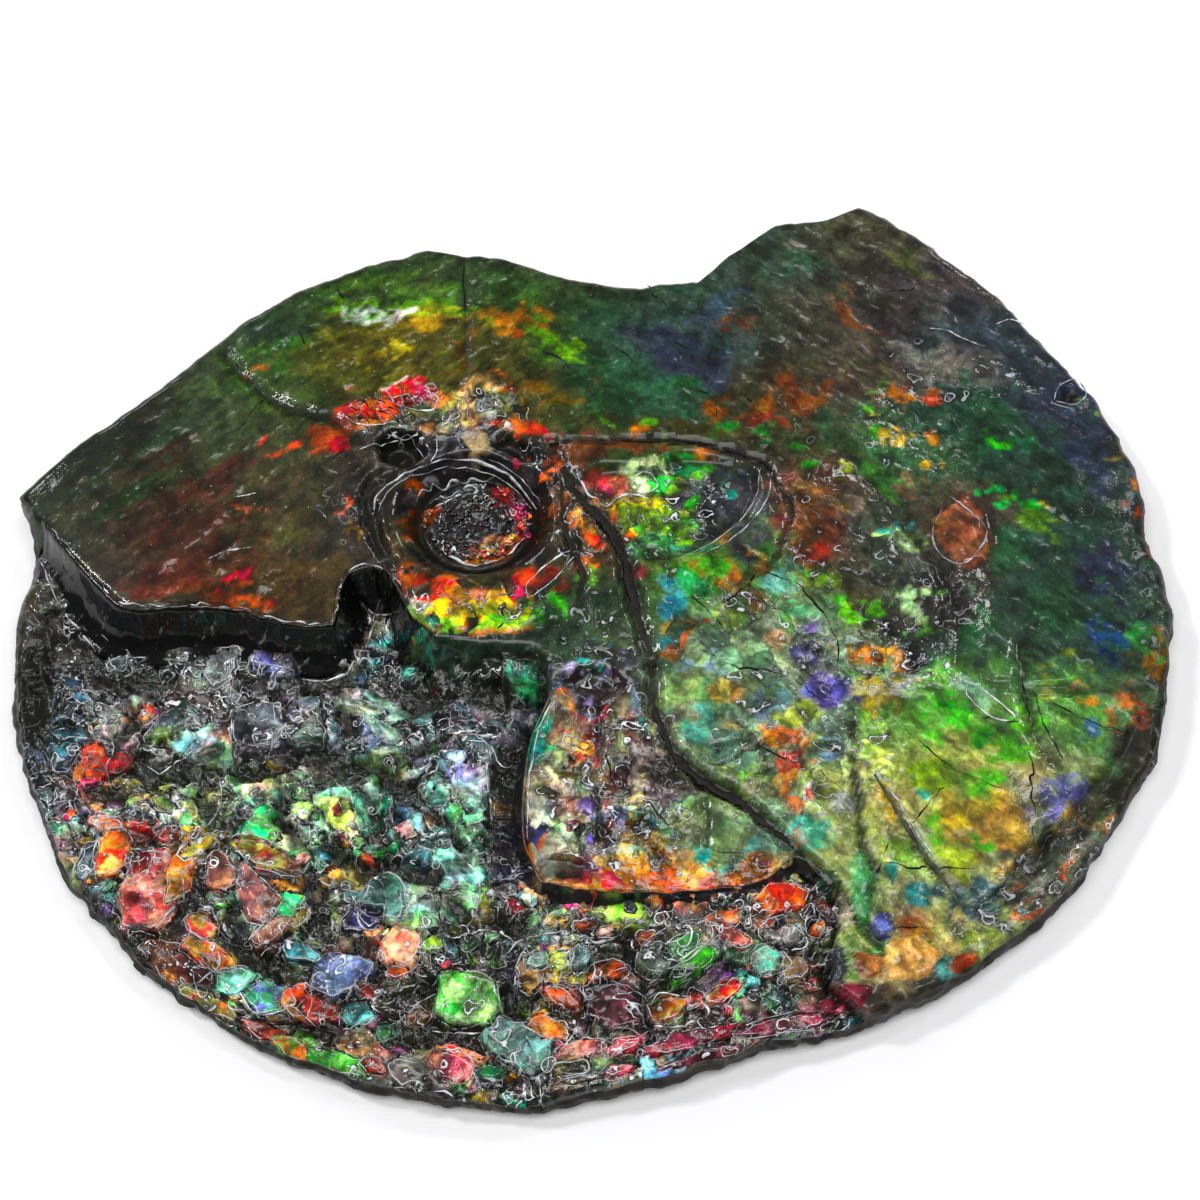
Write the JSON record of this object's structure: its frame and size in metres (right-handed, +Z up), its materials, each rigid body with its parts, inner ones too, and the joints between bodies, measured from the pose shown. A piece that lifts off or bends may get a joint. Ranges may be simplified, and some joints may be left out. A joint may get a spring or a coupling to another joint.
{
  "type": "ammolite specimen",
  "caption": "Flat fossil ammonite disc with a cracked iridescent shell layer, an open coil and a bed of crushed glossy shell flakes, lying on its flat back.",
  "frame": {"origin": "middle of the flat underside, at the centre of the outline's box", "axes": "+X along the disc's longest extent, away from its pointed end; +Y towards the edge with the broad point; +Z up through the thickness, out of the iridescent face"},
  "size_m": [0.1196, 0.1032, 0.0107],
  "materials": {
    "fossil_shell": "gloss"
  },
  "bodies": {
    "root": {"ammolite_fossil": "fossil_shell"}
  },
  "joints": []
}
